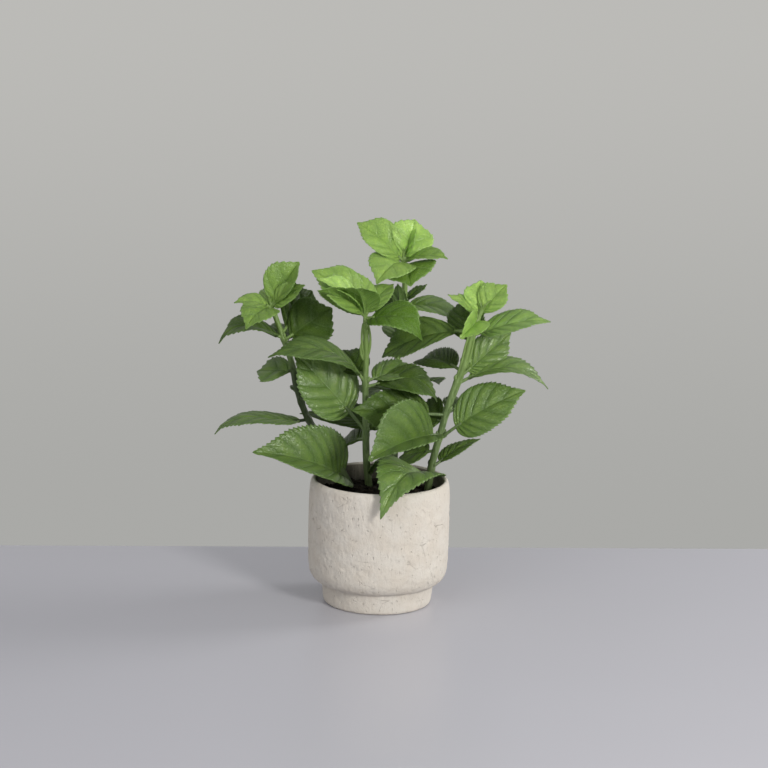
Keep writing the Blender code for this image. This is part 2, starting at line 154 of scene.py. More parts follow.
def make_piece(name, surface, finishes, face_finish=None):
    """A smooth mesh from a surface: points in millimetres, then quads and triangles of their numbers."""
    points, quads, triangles = surface
    corners = np.concatenate([quads.ravel(), triangles.ravel()])
    starts = np.concatenate([np.arange(len(quads)) * 4, len(quads) * 4 + np.arange(len(triangles)) * 3])
    mesh = bpy.data.meshes.new(name)
    mesh.vertices.add(len(points))
    mesh.vertices.foreach_set("co", (points * MM).astype(np.float32).ravel())
    mesh.loops.add(len(corners))
    mesh.loops.foreach_set("vertex_index", corners.astype(np.int32))
    mesh.polygons.add(len(starts))
    mesh.polygons.foreach_set("loop_start", starts.astype(np.int32))
    mesh.polygons.foreach_set("use_smooth", np.ones(len(starts), bool))
    for finish in finishes:
        mesh.materials.append(finish)
    if face_finish is not None:
        mesh.polygons.foreach_set("material_index", face_finish.astype(np.int32))
    mesh.update(calc_edges=True)
    mesh.validate()
    piece = bpy.data.objects.new(name, mesh)
    bpy.context.scene.collection.objects.link(piece)
    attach(piece, "root")
    return piece


def new_finish(name):
    """An empty material, its node tree and its shader."""
    finish = bpy.data.materials.new(name)
    finish.use_nodes = True
    return finish, finish.node_tree, finish.node_tree.nodes["Principled BSDF"]


def node(tree, kind, inputs, **settings):
    """One shader node. Each input is a number, a colour or another node's output."""
    made = tree.nodes.new("ShaderNode" + kind)
    for key, value in settings.items():
        setattr(made, key, value)
    for key, value in inputs.items():
        if isinstance(value, bpy.types.NodeSocket):
            tree.links.new(value, made.inputs[key])
        else:
            made.inputs[key].default_value = value
    return made


def sums(tree, operation, first, second=0.0):
    """A Math node's result."""
    return node(tree, "Math", {0: first, 1: second}, operation=operation).outputs[0]


def times(tree, first, second):
    """The product of two values."""
    return sums(tree, "MULTIPLY", first, second)


def weighted(tree, first, *others):
    """The first value plus each other value times its weight."""
    total = first
    for value, weight in others:
        total = sums(tree, "ADD", total, times(tree, value, weight))
    return total


def mixed(tree, share, first, second, way="MIX"):
    """Two colours mixed by a share."""
    made = node(tree, "Mix", {0: share, 6: first, 7: second}, data_type="RGBA", blend_type=way)
    return made.outputs[2]


def spread(tree, value, low, high, to_low=0.0, to_high=1.0):
    """Value taken smoothly from low..high to to_low..to_high, and held outside."""
    inputs = {"Value": value, "From Min": low, "From Max": high, "To Min": to_low, "To Max": to_high}
    return node(tree, "MapRange", inputs, interpolation_type="SMOOTHSTEP").outputs[0]


def mapped(tree, where, **change):
    """The place turned by its Rotation or stretched by its Scale."""
    return node(tree, "Mapping", {"Vector": where, **change}).outputs[0]


def cloud(tree, where, scale, detail=3.0, rough=0.55, stretch=(1, 1, 1)):
    """Soft noise from 0 to 1, stretched where its axes differ."""
    moved = mapped(tree, where, Scale=stretch)
    inputs = {"Vector": moved, "Scale": scale, "Detail": detail, "Roughness": rough}
    return node(tree, "TexNoise", inputs).outputs[0]


def cells(tree, where, scale, feature="F1"):
    """The distance from the middles of scattered cells, or from their edges."""
    return node(tree, "TexVoronoi", {"Vector": where, "Scale": scale}, feature=feature).outputs["Distance"]


def bumped(tree, shader, height, strength, depth):
    """A bump of this depth, made from a height and put on the shader's normal."""
    inputs = {"Height": height, "Strength": strength, "Distance": depth * MM}
    bump = node(tree, "Bump", inputs).outputs[0]
    tree.links.new(bump, shader.inputs["Normal"])
    return bump


def clay_specks(tree, where):
    """The middles of small cells, only where a slow noise is high."""
    near = spread(tree, cells(tree, where, 300), 0.16, 0.08)
    return times(tree, near, spread(tree, cloud(tree, where, 170, 1), 0.60, 0.66))


def clay_cracks(tree, where):
    """The edges of large turned cells, only where a slow noise is high."""
    edges = cells(tree, mapped(tree, where, Rotation=(0.5, 0.3, 0.2)), 75, "DISTANCE_TO_EDGE")
    return times(tree, spread(tree, edges, 0.012, 0.003), spread(tree, cloud(tree, where, 90, 2), 0.57, 0.63))


def clay_pits(tree, where):
    """The middles of small upright cells, only where a noise is high."""
    near = spread(tree, cells(tree, mapped(tree, where, Scale=(1, 1, 0.55)), 420), 0.30, 0.10)
    return times(tree, near, spread(tree, cloud(tree, where, 260, 2), 0.50, 0.60))


def damp_and_shade_wall(tree, where):
    """Upright runs on the inner wall, inside its radius, below the rim and above the pot's middle: damp
    stain, darkened further as painted shade.
    """
    apart = node(tree, "SeparateXYZ", {"Vector": where}).outputs
    squares = sums(tree, "ADD", sums(tree, "POWER", apart["X"], 2.0), sums(tree, "POWER", apart["Y"], 2.0))
    inside = spread(tree, sums(tree, "SQRT", squares), 46.2 * MM, 45.2 * MM)
    below_rim = spread(tree, apart["Z"], 89.6 * MM, 88.2 * MM)
    band = times(tree, below_rim, spread(tree, apart["Z"], 50 * MM, 60 * MM))
    run = cloud(tree, where, 260, 3, 0.6, (1, 1, 0.25))
    return times(tree, times(tree, inside, band), spread(tree, run, 0.25, 0.6, 0.86, 1.0))


def stoneware_finish():
    """Cream clay with soft blotches, upright streaks, fine grain, specks, hair cracks and pits.

    The inner wall above the soil is dark, partly with damp stain and partly with painted shade.
    """
    finish, tree, shader = new_finish("cream_stoneware")
    where = node(tree, "TexCoord", {}).outputs["Object"]
    blotch = cloud(tree, where, 75, 4)
    streak = cloud(tree, where, 430, 4, 0.65, (1, 1, 0.38))
    lump = cloud(tree, where, 300, 3, 0.6, (1, 1, 0.7))
    fine = cloud(tree, where, 1500, 3, 0.6)
    crack = clay_cracks(tree, where)
    clay = mixed(tree, spread(tree, blotch, 0.30, 0.70), CLAY_SHADE, CLAY_LIGHT)
    clay = mixed(tree, spread(tree, streak, 0.48, 0.28, 0.0, 0.32), clay, CLAY_STREAK)
    clay = mixed(tree, spread(tree, fine, 0.45, 0.25, 0.0, 0.25), clay, CLAY_GRAIN)
    clay = mixed(tree, times(tree, clay_specks(tree, where), 0.65), clay, CLAY_SPECK)
    clay = mixed(tree, times(tree, crack, 0.4), clay, CLAY_CRACK)
    # Damp stain and painted shade on the inner wall
    clay = mixed(tree, damp_and_shade_wall(tree, where), clay, CLAY_DAMP_AND_SHADE)
    tree.links.new(clay, shader.inputs["Base Color"])
    pit = clay_pits(tree, where)
    height = weighted(tree, times(tree, streak, 1.5), (lump, 1.6), (pit, -1.4), (fine, 0.5), (crack, -0.7))
    bumped(tree, shader, height, 0.95, 0.42)
    tree.links.new(spread(tree, blotch, 0.3, 0.7, 0.75, 0.9), shader.inputs["Roughness"])
    shader.inputs["Specular IOR Level"].default_value = 0.25
    return finish


outer = resampled(POT_OUTSIDE, POT_OUTSIDE_STEP)
inner = resampled([POT_OUTSIDE[-1], *POT_INSIDE], POT_INSIDE_STEP)[1:]
profile = np.vstack([outer, inner])[1:-1]
worked = np.interp(np.arange(len(profile)) / len(outer), *np.transpose(POT_WORKED))
relief = np.minimum(POT_RELIEF * pressed_wall(len(profile)) * worked[:, None], 0)
rings = turned_surface(profile, relief)
rings[..., 2] = np.maximum(rings[..., 2], 0)
shell = capped(rings, (0, 0, 0), (0, 0, POT_INSIDE[-1][1]))
pot = make_piece("stoneware_pot", shell, [stoneware_finish()])
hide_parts("pot")


# The soil is nearly black peat, filled to about 12 mm below the rim. It is pressed in loosely, so
# its top is uneven, and crumbs of all sizes lie on it.

SOIL_SIDE = [
    (0, 8.4), (30.7, 8.4), (33.1, 10.2), (33.8, 16.2), (35.8, 19.4), (40.8, 22.9), (43.6, 27.7),
    (44.6, 34), (44.6, 77.0),
]
SOIL_TOP = [(44.6, 77.0), (40, 77.6), (30, 78.6), (15, 79.4), (0, 79.8)]
SOIL_SIDE_STEP = 4.0
SOIL_TOP_STEP = 0.9
SOIL_COLUMNS = 160
SOIL_HEAP_LIMIT = 1.6
SOIL_CALM_MIDDLE = 12.0
CRUMB_COUNT = 900
CRUMB_LEAST = 0.45
CRUMB_RANGE = 1.7
CRUMB_REACH = 43.0

PEAT_DARK = (0.006, 0.0055, 0.004, 1)
PEAT_BROWN = (0.035, 0.028, 0.019, 1)
PEAT_FIBRE = (0.075, 0.052, 0.03, 1)


def joined(parts):
    """Surfaces that are each numbered from 0, as one that is numbered right through."""
    starts = np.cumsum([0] + [len(points) for points, _, _ in parts[:-1]])
    points = np.vstack([part[0] for part in parts])
    quads = np.vstack([start + part[1] for start, part in zip(starts, parts)])
    triangles = np.vstack([start + part[2] for start, part in zip(starts, parts)])
    return points, quads, triangles


def crumbs():
    """Twenty-sided lumps that lie on the soil, each pushed out of shape and turned at random.

    For a chance c from 0 to 1, a lump's radius is the least radius plus the range times c cubed, so
    most are small. It lies at the reach times the root of c from the middle, so they lie evenly, and
    its middle is a quarter of its radius above the soil.
    """
    golden = (1 + 5**0.5) / 2
    lump = np.array([
        (-1, golden, 0), (1, golden, 0), (-1, -golden, 0), (1, -golden, 0), (0, -1, golden), (0, 1, golden),
        (0, -1, -golden), (0, 1, -golden), (golden, 0, -1), (golden, 0, 1), (-golden, 0, -1), (-golden, 0, 1),
    ]) / math.sqrt(1 + golden**2)
    faces = np.array([
        (0, 11, 5), (0, 5, 1), (0, 1, 7), (0, 7, 10), (0, 10, 11), (1, 5, 9), (5, 11, 4), (11, 10, 2),
        (10, 7, 6), (7, 1, 8), (3, 9, 4), (3, 4, 2), (3, 2, 6), (3, 6, 8), (3, 8, 9), (4, 9, 5),
        (2, 4, 11), (6, 2, 10), (8, 6, 7), (9, 8, 1),
    ])
    chance = np.random.default_rng(14)
    size = CRUMB_LEAST + CRUMB_RANGE * chance.random(CRUMB_COUNT) ** 3
    shape = lump[None] * (1 + 0.28 * chance.standard_normal((CRUMB_COUNT, len(lump), 1)).clip(-1.5, 1.5))
    shape = shape * chance.uniform(0.6, 1.3, (CRUMB_COUNT, 1, 3)) * size[:, None, None]
    turns = np.linalg.qr(chance.standard_normal((CRUMB_COUNT, 3, 3)))[0]
    turns *= np.sign(np.linalg.det(turns))[:, None, None]
    away = CRUMB_REACH * np.sqrt(chance.random(CRUMB_COUNT))
    angle = chance.uniform(0, 2 * math.pi, CRUMB_COUNT)
    level = np.interp(away, *np.transpose(SOIL_TOP[::-1]))
    place = np.stack([away * np.cos(angle), away * np.sin(angle), level + 0.25 * size], axis=1)
    points = np.einsum("nij,nvj->nvi", turns, shape) + place[:, None]
    starts = len(lump) * np.arange(CRUMB_COUNT)[:, None, None]
    return points.reshape(-1, 3), np.zeros((0, 4), int), (starts + faces[None]).reshape(-1, 3)


def soil_finish():
    """Dark peat with brown fibres and grains, dull all over."""
    finish, tree, shader = new_finish("dark_peat")
    where = node(tree, "TexCoord", {}).outputs["Object"]
    clump = cloud(tree, where, 260, 5, 0.65)
    fibre = cloud(tree, where, 900, 3, 0.6, (1, 0.25, 1))
    dirt = mixed(tree, spread(tree, clump, 0.35, 0.7), PEAT_DARK, PEAT_BROWN)
    dirt = mixed(tree, spread(tree, fibre, 0.60, 0.72, 0, 0.5), dirt, PEAT_FIBRE)
    tree.links.new(dirt, shader.inputs["Base Color"])
    bumped(tree, shader, cloud(tree, where, 1100, 4, 0.7), 0.8, 0.6)
    tree.links.new(spread(tree, clump, 0.3, 0.7, 0.85, 1.0), shader.inputs["Roughness"])
    shader.inputs["Specular IOR Level"].default_value = 0.15
    return finish


side = resampled(SOIL_SIDE, SOIL_SIDE_STEP)[1:]
top = resampled(SOIL_TOP, SOIL_TOP_STEP)[1:-1]
profile = np.vstack([side, top])
rows = len(profile)
rough_top = np.concatenate([np.zeros(len(side)), np.linspace(0.2, 1, len(top)) ** 0.3])[:, None]
heap = 0.8 * grain(rows, SOIL_COLUMNS, 3.0, 5.0, 11) + 0.45 * grain(rows, SOIL_COLUMNS, 1.2, 1.6, 12)
rings = turned_surface(profile, np.zeros((rows, SOIL_COLUMNS)))
calm = np.clip(profile[:, :1] / SOIL_CALM_MIDDLE, 0.15, 1)
rings[..., 2] += np.minimum(heap * rough_top, SOIL_HEAP_LIMIT) * calm
plug = capped(rings, (0, 0, SOIL_SIDE[0][1]), (0, 0, SOIL_TOP[-1][1]))
soil = make_piece("potting_soil", joined([plug, crumbs()]), [soil_finish()])
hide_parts("soil")


# The stalks are green, faintly square in section and ribbed, and a little thicker at each joint
# where leaves leave them. Each stands in the soil and tapers upwards to its young tip.

STALK_MARKS = {
    "front": [(-8, 19, 80), (-10, 16, 99), (-11, 12, 122), (-12, 5, 157), (-12, 1, 181), (-13, -4, 206)],
    "right": [
        (34, 8, 78), (37, 6, 101), (42, 4, 123), (49, 2, 151), (57, 1, 173), (61, 0, 191), (66, 0, 207),
    ],
    "back": [(9, 26, 78), (10, 30, 102), (11, 35, 139), (10, 38, 189), (14, 39, 215), (13, 39, 238)],
    "left": [(-20, 14, 78), (-36, 15, 105), (-52, 17, 127), (-61, 19, 150), (-65, 20, 168), (-79, 20, 206)],
}
STALK_JOINTS = {
    "front": (118, 156, 196),
    "right": (96, 119, 137, 160, 172, 196),
    "back": (116, 142, 178, 200),
    "left": (92, 127, 139, 161, 184),
}
# Each side shoot's lowest and highest height, and how far to the right of the stalk it runs
SIDE_SHOOTS = {
    "front": [(176, 201, -2.9), (178, 200, 3.0), (174, 188, -3.9)],
    "right": [(161, 200, -2.7), (139, 171, 2.6), (166, 199, 2.4)],
}
TIP_START = {"front": 202.0, "right": 203.0, "back": 233.5, "left": 201.5}
STALK_DEPTH = 22.0
STALK_COLUMNS = 24
STALK_STEP = 1.3
STALK_LAST_STEP = 0.6
STALK_FOOT_RADIUS = 2.7
STALK_TOP_RADIUS = 1.9
STALK_TAPER_FROM = 84.0
JOINT_SWELL = 0.42
JOINT_HALF_HEIGHT = 2.0
# Each joint's two buds: how far round from the first they stand, and their lengths
AXIL_BUDS = [(0, 5.5), (math.pi, 4.5)]
BUD_COLUMNS = 8
SHOOT_COLUMNS = 10

RIND_DARK = (0.100, 0.158, 0.052, 1)
RIND_LIGHT = (0.155, 0.23, 0.082, 1)
RIND_RIB = (0.24, 0.33, 0.14, 1)
RIND_FOOT = (0.06, 0.075, 0.03, 1)
RIND_TIP = (0.24, 0.37, 0.09, 1)
# Painted shade for the lower part of the left stalk
RIND_PAINTED_SHADE = (0.028, 0.042, 0.016, 1)


def smooth_line(points, step):
    """A curve through the points: between two of them, a cubic whose slopes follow their neighbours."""
    p = np.array(points, float)
    p = np.vstack([2 * p[0] - p[1], p, 2 * p[-1] - p[-2]])
    t = np.linspace(0, 1, 31)[:-1, None]
    runs = []
    for a, b, c, d in zip(p[:-3], p[1:-2], p[2:-1], p[3:]):
        bend = 2 * a - 5 * b + 4 * c - d
        runs.append(0.5 * (2 * b + (c - a) * t + bend * t**2 + (3 * b - a - 3 * c + d) * t**3))
    line = np.vstack(runs + [p[-2]])
    along = np.concatenate([[0], np.cumsum(np.linalg.norm(np.diff(line, axis=0), axis=1))])
    wanted = np.linspace(0, along[-1], max(3, round(along[-1] / step) + 1))
    return np.stack([np.interp(wanted, along, line[:, k]) for k in range(3)], axis=1)


def point_at(line, height):
    """The point, or points, of a climbing line at this height, or these heights."""
    return np.stack([np.interp(height, line[:, 2], line[:, k]) for k in range(3)], axis=-1)


def closed_tube(line, radius):
    """A tube with closed ends: round each point of a line, a ring x = r cos a, y = r sin a across it.

    The radius is given for each ring and column.
    """
    ahead = np.gradient(line, axis=0)
    ahead /= np.linalg.norm(ahead, axis=1)[:, None]
    across = np.cross(ahead, [0.0, 1.0, 0.0] if abs(ahead[:, 1]).max() < 0.9 else [1.0, 0.0, 0.0])
    across /= np.linalg.norm(across, axis=1)[:, None]
    third = np.cross(ahead, across)
    angle = np.linspace(0, 2 * math.pi, radius.shape[1], endpoint=False)
    turn = np.cos(angle)[None, :, None] * across[:, None] + np.sin(angle)[None, :, None] * third[:, None]
    return capped(line[:, None] + radius[..., None] * turn, line[0], line[-1])


def stalk_radius(heights, joints):
    """The radius at each height h and angle a round the stalk, which tapers above the soil.

    It is faintly square by cos 4a, ribbed by cos(12a + h/9), and swells at a joint by exp(-x^2).
    """
    angle = np.linspace(0, 2 * math.pi, STALK_COLUMNS, endpoint=False)[None]
    marks = [heights[0, 0], STALK_TAPER_FROM, heights[-1, 0]]
    radius = np.interp(heights, marks, [STALK_FOOT_RADIUS, STALK_FOOT_RADIUS, STALK_TOP_RADIUS])
    radius = radius * (0.94 + 0.05 * np.cos(4 * angle) + 0.012 * np.cos(12 * angle + heights / 9))
    for joint in joints:
        radius = radius + JOINT_SWELL * np.exp(-(((heights - joint) / JOINT_HALF_HEIGHT) ** 2))
    return radius


def axil_bud(line, height, turn, size):
    """A small pointed bud in a joint: a tube along a leaning line, as wide as the sine of its share."""
    foot = point_at(line, height)
    ahead = point_at(line, height + 1) - foot
    ahead /= np.linalg.norm(ahead)
    out = np.array([math.cos(turn), math.sin(turn), 0.0])
    t = np.linspace(0, 1, 9)[:, None]
    way = foot + 1.4 * out + size * t * (ahead + 0.55 * out * (1 - 0.4 * t))
    radius = size * 0.24 * np.sin(math.pi * np.clip(t * 0.93 + 0.07, 0, 1)) ** 0.8 + 0.05
    return closed_tube(way, np.repeat(radius, BUD_COLUMNS, axis=1))


def side_shoot(line, low, high, out):
    """A slender shoot that runs up beside the stalk, out by the sine of its share to the power 0.6."""
    t = np.linspace(0, 1, 16)
    way = point_at(line, low + (high - low) * t)
    way[:, 0] += out * np.sin(math.pi * (0.06 + 0.80 * t)) ** 0.6
    way[:, 1] -= 0.6 * np.sin(math.pi * t)
    return closed_tube(way, np.repeat((1.05 - 0.4 * t)[:, None], SHOOT_COLUMNS, axis=1))


def stalk_finish():
    """Dull green rind with pale upright ribs, with short fine hairs as grain.

    It is darker towards the soil and brighter near the tips. The lower part of the left stalk is darkest:
    painted shade where the leaves above shade it.
    """
    finish, tree, shader = new_finish("stalk_green")
    where = node(tree, "TexCoord", {}).outputs["Object"]
    apart = node(tree, "SeparateXYZ", {"Vector": where}).outputs
    height = apart["Z"]
    rib = cloud(tree, where, 900, 3, 0.6, (1, 1, 0.08))
    patch = cloud(tree, where, 90, 3)
    # Painted shade: the lower part of the left stalk, which the leaves above shade
    to_left = spread(tree, apart["X"], -30 * MM, -48 * MM)
    painted_shade_left = times(tree, to_left, spread(tree, height, 178 * MM, 156 * MM))
    rind = mixed(tree, spread(tree, patch, 0.35, 0.65), RIND_DARK, RIND_LIGHT)
    rind = mixed(tree, spread(tree, rib, 0.45, 0.65, 0, 0.6), rind, RIND_RIB)
    rind = mixed(tree, spread(tree, height, 125 * MM, 80 * MM, 0, 0.45), rind, RIND_FOOT)
    rind = mixed(tree, spread(tree, height, 138 * MM, 190 * MM, 0, 0.6), rind, RIND_TIP)
    rind = mixed(tree, times(tree, painted_shade_left, 0.8), rind, RIND_PAINTED_SHADE)
    tree.links.new(rind, shader.inputs["Base Color"])
    bumped(tree, shader, weighted(tree, rib, (cloud(tree, where, 2200, 2), 0.5)), 0.6, 0.25)
    tree.links.new(spread(tree, patch, 0.3, 0.7, 0.42, 0.58), shader.inputs["Roughness"])
    shader.inputs["Specular IOR Level"].default_value = 0.4
    return finish


stalk_green = stalk_finish()
stalk = {}
for side, marks in STALK_MARKS.items():
    low, above = np.array(marks[0], float), np.array(marks[1], float)
    foot = low + STALK_DEPTH * (low - above) / np.linalg.norm(above - low)
    stalk[side] = smooth_line([foot, *marks], STALK_STEP)

for side, line in stalk.items():
    end = TIP_START[side]
    line = np.vstack([line[line[:, 2] < end - STALK_LAST_STEP], point_at(line, end)])
    parts = [closed_tube(line, stalk_radius(line[:, 2:], STALK_JOINTS[side]))]
    for joint in STALK_JOINTS[side]:
        parts += [axil_bud(line, joint + 1.0, 0.6 + joint + turn, size) for turn, size in AXIL_BUDS]
    parts += [side_shoot(line, low, high, out) for low, high, out in SIDE_SHOOTS.get(side, ())]
    made = make_piece(side + "_stalk", joined(parts), [stalk_green])
    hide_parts(side + "_stem")


# The mature leaves stand in pairs on short stalks. Each is a thin toothed blade, sunk along its
# midrib and side veins and puffed up between them, darker above than below.

TOOTH_PITCH = 2.9
TOOTH_DEPTH = 0.95
VEIN_SWEEP = 0.41
HALF_COLUMNS = 14
ROWS_PER_TOOTH = 5
BLADE_THICKNESS = 0.42
BLADE_PUFF = 1.0
WIDE_LEAF = 28.0
TWIST_DEGREES = 4
MIDRIB_SINK = 0.55
MIDRIB_WIDTH = 1.0
FOLD_ROUNDING = 1.2
EDGE_DROOP = 0.07
EDGE_WAVE = 0.6
TOOTH_WAVE = 0.22
SMALL_PUFF = 0.17
SMALL_PUFF_PITCH = 3.4
RIB_DEPTH = 0.95
RIB_WIDTH = 0.9
SIDE_RIB_DEPTH = 0.22
PETIOLE_RADIUS = 1.3
PETIOLE_COLUMNS = 10

# The dark green is partly painted shade: a low tone darkens a leaf that sits in shade.
MATURE_GREENS = {
    "dark": (0.030, 0.066, 0.003, 1),
    "pale": (0.310, 0.525, 0.120, 1),
    "vein": (0.25, 0.395, 0.12, 1),
    "back": (0.14, 0.22, 0.075, 1),
}
BROAD_SHADE = (0.72, 0.80, 0.55, 1)
MOTTLE_LIGHT = (1.45, 1.30, 1.25, 1)
# Painted highlight on the crests between side veins, and painted shade in the valleys along them
CREST_PAINTED_HIGHLIGHT = (1.45, 1.34, 1.25, 1)
VALLEY_PAINTED_SHADE = (0.55, 0.62, 0.45, 1)
LIGHT_THROUGH = (1.5, 1.7, 0.7, 1)


def leaf(height, tip, width, petiole, arch, roll, fold, tone_and_shade, hook=0.0, widest=0.38):
    """One leaf's place and form, as its CAD solid has them, with its tone from dark to pale. A low tone is
    partly painted shade, for leaves that sit in shade.

    It leaves the stalk's middle at this height and ends at tip. Width is that of the blade, and
    petiole the length of bare stalk. Arch lifts the middle and hook the outer third, as shares of
    the whole length. Roll turns the blade about its own line, and fold raises its halves to a V.
    Widest is how far along the blade it is widest, as a share.
    """
    return {
        "height": height, "tip": np.array(tip, float), "width": width, "petiole": petiole, "arch": arch,
        "roll": roll, "fold": fold, "hook": hook, "widest": widest, "tone_and_shade": tone_and_shade,
    }


# Each leaf's tone is partly its own colour and partly painted shade: leaves that sit in shade have low tones.
MATURE_LEAVES = {
    "front": [
        leaf(86, (4, 9, 104), 12, 3, arch=0.05, roll=20, fold=20, tone_and_shade=0.35),
        leaf(115, (-38, 60, 92), 34, 6, arch=0.05, roll=-30, fold=12, tone_and_shade=0.12),
        leaf(120, (-63, 4, 178), 47, 19, arch=0.05, roll=-64, fold=12, tone_and_shade=0.48),
        leaf(157, (-80, -16, 178), 42, 6, arch=0.22, roll=-14, fold=4, widest=0.48, tone_and_shade=0.32),
        leaf(159, (-29, 37, 174), 24, 5, arch=0.10, roll=-24, fold=10, tone_and_shade=0.08),
        leaf(158, (25, 20, 166), 30, 6, arch=0.05, roll=16, fold=14, tone_and_shade=0.40),
        leaf(154, (39, 3, 145), 40, 6, arch=0.14, roll=18, fold=5, hook=0.16, widest=0.55, tone_and_shade=0.14),
    ],
    "right": [
        leaf(90, (1, -61, 76), 47, 6, arch=0.12, roll=-11, fold=18, hook=0.165, tone_and_shade=0.52),
        leaf(96, (71, 26, 114), 20, 8, arch=0.06, roll=2, fold=12, tone_and_shade=0.25),
        leaf(109, (13, 16, 101), 32, 5, arch=0.06, roll=-22, fold=8, tone_and_shade=0.24),
        leaf(117, (100, -10, 158), 41, 17, arch=0.08, roll=52, fold=10, tone_and_shade=0.50),
        leaf(121, (-8, -44, 113), 62, 8, arch=0.12, roll=-36, fold=50, widest=0.46, tone_and_shade=0.37),
        leaf(131, (20, 26, 130), 36, 3, arch=0.05, roll=-44, fold=6, widest=0.42, tone_and_shade=0.12),
        leaf(136, (81, 66, 122), 34, 8, arch=0.12, roll=0, fold=12, tone_and_shade=0.15),
        leaf(136, (-21, -16, 142), 35, 12, arch=0.01, roll=-64, fold=8, tone_and_shade=0.19),
        leaf(158, (117, 6, 156), 30, 8, arch=0.19, roll=14, fold=12, hook=0.06, widest=0.45, tone_and_shade=0.46),
        leaf(163, (90, 20, 193), 28, 8, arch=0.05, roll=60, fold=12, tone_and_shade=0.52),
        leaf(168, (25, 68, 159), 27, 8, arch=0.11, roll=-26, fold=12, tone_and_shade=0.15),
        leaf(186, (56, 40, 213), 28, 6, arch=0.05, roll=-10, fold=10, tone_and_shade=0.12),
        leaf(194, (116, -4, 206), 29, 6, arch=0.05, roll=24, fold=12, hook=0.04, tone_and_shade=0.78),
        leaf(197, (-1, 4, 176), 36, 8, arch=0.14, roll=-36, fold=18, widest=0.58, tone_and_shade=0.21),
    ],
    "back": [
        leaf(116, (-60, 66, 120), 36, 8, arch=0.06, roll=-14, fold=12, tone_and_shade=0.12),
        leaf(117, (52, 82, 123), 34, 8, arch=0.06, roll=0, fold=12, tone_and_shade=0.15),
        leaf(142, (-12, 90, 127), 36, 8, arch=0.12, roll=0, fold=12, tone_and_shade=0.2),
        leaf(143, (42, 88, 140), 36, 8, arch=0.12, roll=0, fold=12, tone_and_shade=0.2),
        leaf(178, (21, 92, 176), 34, 6, arch=0.14, roll=0, fold=12, tone_and_shade=0.3),
        leaf(198, (-5, 58, 209), 22, 4, arch=0.05, roll=-30, fold=8, tone_and_shade=0.08),
        leaf(202, (9, 26, 225), 12, 2, arch=0.05, roll=0, fold=8, tone_and_shade=0.5),
        leaf(206, (57, 32, 195), 30, 4, arch=0.16, roll=14, fold=12, tone_and_shade=0.55),
        leaf(208, (30, 50, 221), 14, 3, arch=0.05, roll=0, fold=8, tone_and_shade=0.2),
    ],
    "left": [
        leaf(86, (-89, -24, 112), 58, 2, arch=0.09, roll=-46, fold=36, widest=0.30, tone_and_shade=0.37),
        leaf(127, (-118, 6, 117), 36, 6, arch=-0.01, roll=-3, fold=3, hook=0.137, tone_and_shade=0.36),
        leaf(139, (-44, 66, 136), 34, 10, arch=0.12, roll=0, fold=12, tone_and_shade=0.15),
        leaf(161, (-90, 30, 158), 31, 2, arch=0.06, roll=-26, fold=6, widest=0.5, tone_and_shade=0.44),
        leaf(180, (-61, 74, 180), 34, 8, arch=0.12, roll=0, fold=12, tone_and_shade=0.2),
        leaf(183, (-37, 32, 205), 38, 5, arch=0.08, roll=60, fold=10, widest=0.5, tone_and_shade=0.10),
        leaf(185, (-116, 8, 182), 36, 4, arch=0.12, roll=-8, fold=12, hook=0.14, tone_and_shade=0.25),
        leaf(188, (-52, 50, 214), 40, 6, arch=0.05, roll=60, fold=10, widest=0.5, tone_and_shade=0.08),
    ],
}


def smooth_rise(value, low, high):
    """0 below low, 1 above high, and 3x^2 - 2x^3 between."""
    x = np.clip((value - low) / (high - low), 0, 1)
    return x * x * (3 - 2 * x)


def leaf_axes(root, form):
    """The chord from root to tip, its length, and the blade's normal and side, rolled about the chord."""
    chord = form["tip"] - root
    length = np.linalg.norm(chord)
    line = chord / length
    flat = np.array([0.0, 0.0, 1.0]) - line * line[2]
    flat /= np.linalg.norm(flat)
    roll = math.radians(form["roll"])
    normal = math.cos(roll) * flat + math.sin(roll) * np.cross(line, flat)
    return chord, length, normal, np.cross(line, normal)


def leaf_bow(form, u):
    """How far the middle line is off its chord at the share u: arch 4u(1-u) plus hook 6.75u^2(1-u)."""
    return form["arch"] * 4 * u * (1 - u) + form["hook"] * 6.75 * u**2 * (1 - u)


def blade_outline(form, blade_length, tooth_depth):
    """A blade's grid of rows that run as its side veins do, cut out along its toothed edge.

    A row that meets the edge at m leaves the midrib at m - sweep sin(pi m)(0.55 + 0.45m). The half
    width at m is m^a (1-m)^b, drawn in near the tip. Each tooth rises over four fifths of its pitch
    and leans forwards. Returned are the number of teeth, m, the share at the midrib, the share of
    the way across, the half width, the nearness to the edge, and the grid across and along.
    """
    teeth = 2 * max(4, round(blade_length / TOOTH_PITCH / 2))
    m = np.linspace(0, 1, teeth * ROWS_PER_TOOTH + 1)[:, None]
    t = m - VEIN_SWEEP * np.sin(math.pi * m) * (0.55 + 0.45 * m)
    k = np.linspace(-1, 1, 2 * HALF_COLUMNS + 1)[None]
    s = np.sign(k) * np.abs(k) ** 1.2
    reach = np.abs(s)

    widest = form["widest"]
    behind = 0.8 * widest / (1 - widest)
    half = m**behind * (1 - m) ** 0.8 / (widest**behind * (1 - widest) ** 0.8)
    half = half * form["width"] / 2 * (1 - 0.45 * smooth_rise(m, 0.66, 0.98))
    half = np.maximum(half, np.interp(m, [0, 1], [0.9, 0.2]))
    saw = (teeth * m) % 1
    tooth = np.where(saw < 0.8, saw / 0.8, (1 - saw) / 0.2)
    cut = np.minimum(tooth_depth, 0.16 * half) * (1 - tooth)
    near_edge = smooth_rise(reach, 0.80, 1.0)
    across = s * half - np.sign(s) * near_edge * cut
    along = t + (m - t) * reach**1.25 + near_edge * 0.35 * tooth / teeth * np.minimum(1, 4 * (1 - m))
    return teeth, m, t, s, half, near_edge, across, np.minimum(along, 1)


